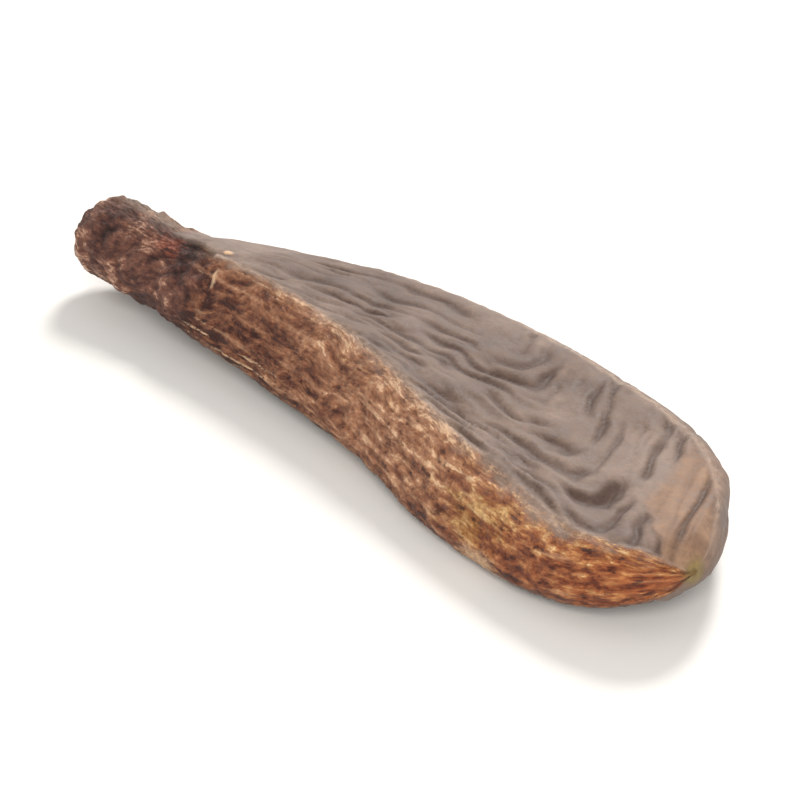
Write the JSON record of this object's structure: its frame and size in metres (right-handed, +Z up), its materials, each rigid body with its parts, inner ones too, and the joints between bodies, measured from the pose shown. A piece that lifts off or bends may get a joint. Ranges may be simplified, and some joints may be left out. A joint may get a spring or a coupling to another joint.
{
  "type": "carob pod",
  "caption": "Dried carob pod lying on a flat side: a long flattened shell with wrinkled sides between thick seam bands, a narrow neck at one end and a blunt tip.",
  "frame": {"origin": "under the middle of the pod's bounding box, on the surface it lies on", "axes": "+X from the neck towards the blunt tip, -Y the wide seam band, +Z up out of the upper flat side"},
  "size_m": [0.102, 0.0298, 0.0119],
  "materials": {
    "pod_skin": "matt and wrinkled, grey-brown on the flat sides, reddish brown and fibrous on the seam bands"
  },
  "bodies": {
    "root": {"pod": "pod_skin"}
  },
  "joints": []
}
